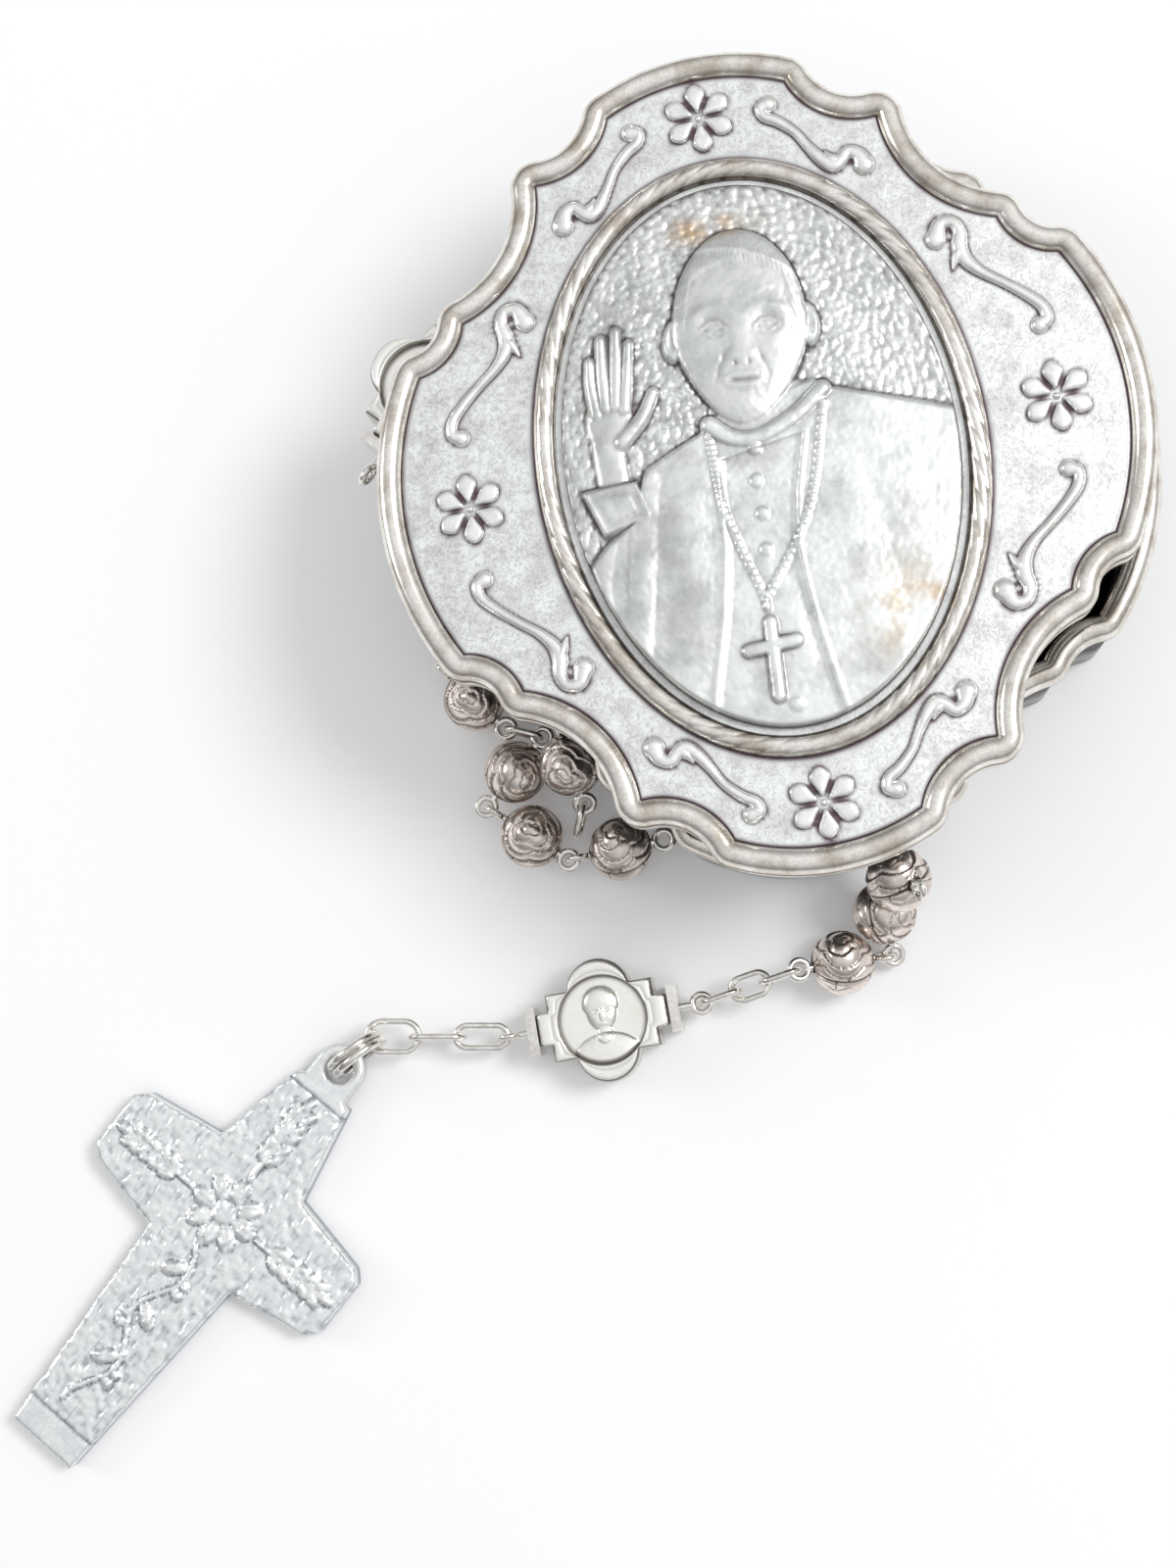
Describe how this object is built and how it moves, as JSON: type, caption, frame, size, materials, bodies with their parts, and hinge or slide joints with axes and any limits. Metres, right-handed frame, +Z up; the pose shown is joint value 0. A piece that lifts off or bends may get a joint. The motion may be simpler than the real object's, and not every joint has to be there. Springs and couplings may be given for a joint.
{
  "type": "rosary box",
  "caption": "Scalloped silver keepsake box with a loose relief lid lying askew on it, and a rosary with rose beads and a crucifix spilling out.",
  "frame": {"origin": "centre of the underside of the base, on the surface that the box stands on", "axes": "+Z up, +Y towards the top of the lid's picture, +X to the right of it"},
  "size_m": [0.0891, 0.1119, 0.0234],
  "materials": {
    "antique_silver": "antiqued silver casting, worn bright on its high spots",
    "stippled_silver": "stippled silver ground with dark lines in its recesses",
    "dark_silver": "dark tarnished silver, polished",
    "rose_bead_silver": "oxidised silver beads, warm grey in the recesses",
    "bright_wire": "bright silver wire"
  },
  "bodies": {
    "base_and_rosary": {"base_floor": "dark_silver", "base_wall": "dark_silver", "base_rim": "antique_silver", "jump_ring": "bright_wire", "crucifix_links": "bright_wire", "bead_links": "bright_wire", "looped_strand_links": "bright_wire", "pendant_medal": "antique_silver", "pendant_medal_caps": "antique_silver", "pendant_medal_pin": "bright_wire", "pendant_medal_relief": "antique_silver", "rose_bead_pins": "bright_wire", "rim_medal": "antique_silver", "rim_medal_caps": "antique_silver", "rim_medal_pin": "bright_wire", "rim_medal_relief": "antique_silver", "coil_beads_front": "rose_bead_silver", "coil_beads_right": "rose_bead_silver", "coil_beads_back": "rose_bead_silver", "coil_beads_left": "rose_bead_silver", "inner_coil_beads": "rose_bead_silver", "outer_coil_pins": "bright_wire", "inner_coil_pins": "bright_wire", "inner_medals": "antique_silver", "inner_medal_caps": "antique_silver", "inner_medal_pins": "bright_wire", "centre_medal": "antique_silver"},
    "lid": {"lid_plate": "stippled_silver", "lid_skirt": "antique_silver", "lid_rim": "antique_silver", "rope_border": "antique_silver", "oval_plaque": "stippled_silver", "plaque_figure": "antique_silver", "lid_rosettes": "antique_silver", "lid_scrolls": "antique_silver"},
    "crucifix": {"crucifix": "antique_silver", "crucifix_ornament": "antique_silver"},
    "rose_bead_1": {"rose_bead_1": "rose_bead_silver"},
    "rose_bead_2": {"rose_bead_2": "rose_bead_silver"},
    "rose_bead_3": {"rose_bead_3": "rose_bead_silver"},
    "rose_bead_4": {"rose_bead_4": "rose_bead_silver"},
    "rose_bead_5": {"rose_bead_5": "rose_bead_silver"},
    "rose_bead_6": {"rose_bead_6": "rose_bead_silver"},
    "rose_bead_7": {"rose_bead_7": "rose_bead_silver"},
    "rose_bead_8": {"rose_bead_8": "rose_bead_silver"}
  },
  "joints": [
    {"name": "lid_lift", "type": "slide", "parent": "base_and_rosary", "child": "lid", "axis": [0, 0, 1], "range_m": [0, 0.045]},
    {"name": "crucifix_tilt", "type": "hinge", "parent": "base_and_rosary", "child": "crucifix", "pos_m": [-0.03391, -0.04612, 0.0027], "axis": [-0.6428, 0.766, 0], "range_deg": [0, 100]},
    {"name": "rose_bead_1_spin", "type": "hinge", "parent": "base_and_rosary", "child": "rose_bead_1", "pos_m": [0.0053, -0.0369, 0.00265], "axis": [0.9449, 0.2008, -0.2586], "continuous": true},
    {"name": "rose_bead_2_spin", "type": "hinge", "parent": "base_and_rosary", "child": "rose_bead_2", "pos_m": [0.0085, -0.0327, 0.00265], "axis": [-0.2462, 0.9186, 0.309], "continuous": true},
    {"name": "rose_bead_3_spin", "type": "hinge", "parent": "base_and_rosary", "child": "rose_bead_3", "pos_m": [0.0094, -0.0304, 0.0077], "axis": [0.4036, -0.232, 0.885], "continuous": true},
    {"name": "rose_bead_4_spin", "type": "hinge", "parent": "base_and_rosary", "child": "rose_bead_4", "pos_m": [-0.0258, -0.0165, 0.00265], "axis": [0.766, -0.6428, 0], "continuous": true},
    {"name": "rose_bead_5_spin", "type": "hinge", "parent": "base_and_rosary", "child": "rose_bead_5", "pos_m": [-0.0221, -0.0224, 0.00265], "axis": [-0.592, -0.8059, 0], "continuous": true},
    {"name": "rose_bead_6_spin", "type": "hinge", "parent": "base_and_rosary", "child": "rose_bead_6", "pos_m": [-0.0172, -0.0219, 0.0049], "axis": [-0.2962, 0.8138, 0.5], "continuous": true},
    {"name": "rose_bead_7_spin", "type": "hinge", "parent": "base_and_rosary", "child": "rose_bead_7", "pos_m": [-0.0204, -0.0277, 0.00265], "axis": [0.8619, -0.5071, 0], "continuous": true},
    {"name": "rose_bead_8_spin", "type": "hinge", "parent": "base_and_rosary", "child": "rose_bead_8", "pos_m": [-0.01305, -0.02845, 0.00265], "axis": [0.9684, 0.2494, 0], "continuous": true}
  ]
}
